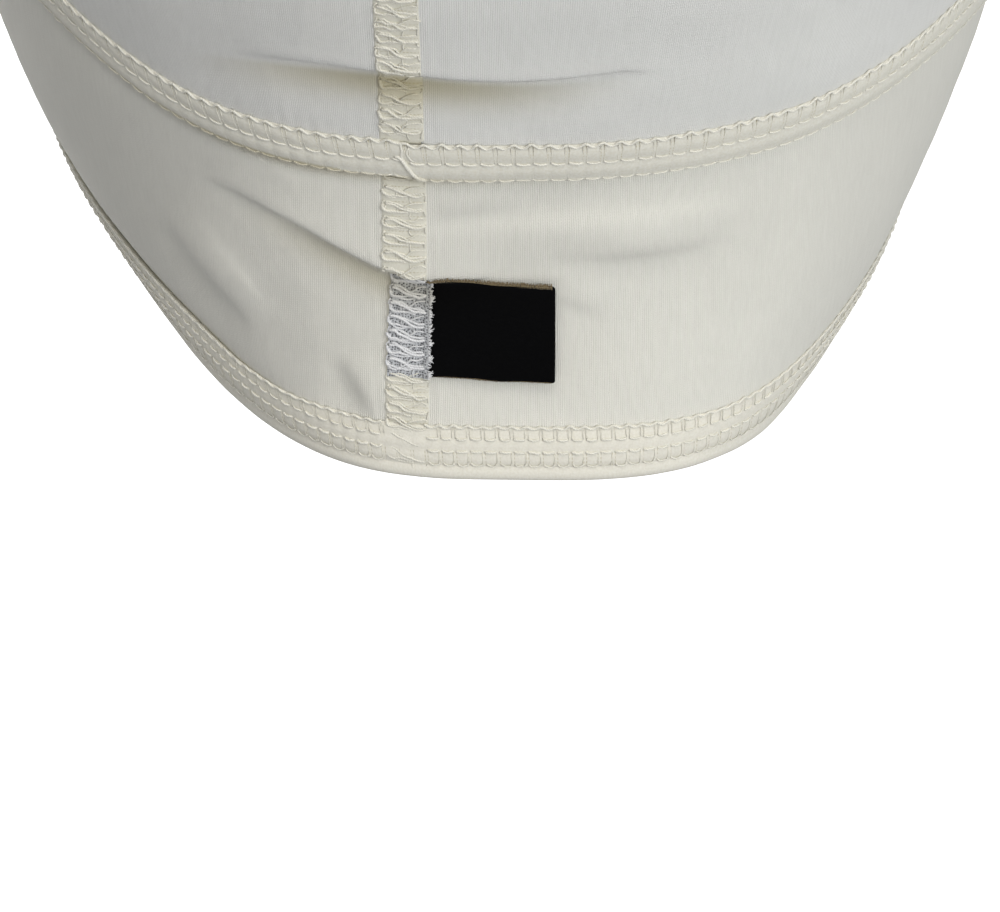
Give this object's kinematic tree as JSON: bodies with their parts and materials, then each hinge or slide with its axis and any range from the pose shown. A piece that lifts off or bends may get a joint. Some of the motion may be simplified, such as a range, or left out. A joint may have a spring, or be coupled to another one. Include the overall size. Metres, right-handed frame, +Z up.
{
  "type": "merino beanie",
  "caption": "Thin merino jersey beanie in its worn form: crown panels, band, turned-up hem, flatlock seams and a small woven label at the back.",
  "frame": {"origin": "where the top of the wearer's head meets the inside of the crown", "axes": "+Z up, +Y towards the back of the head, +X towards the wearer's left"},
  "size_m": [0.1542, 0.1875, 0.149],
  "materials": {
    "jersey": "fine cream merino jersey, matt with a soft nap",
    "seam_thread": "cream textured seam thread over jersey, slightly glossier than the cloth",
    "woven_label": "tightly woven black ribbon, low sheen"
  },
  "bodies": {
    "root": {"crown_left": "jersey", "crown_right": "jersey", "crown_seam": "seam_thread", "join_seam": "seam_thread", "band": "jersey", "back_seam": "seam_thread", "hem": "jersey", "label": "woven_label"}
  },
  "joints": []
}
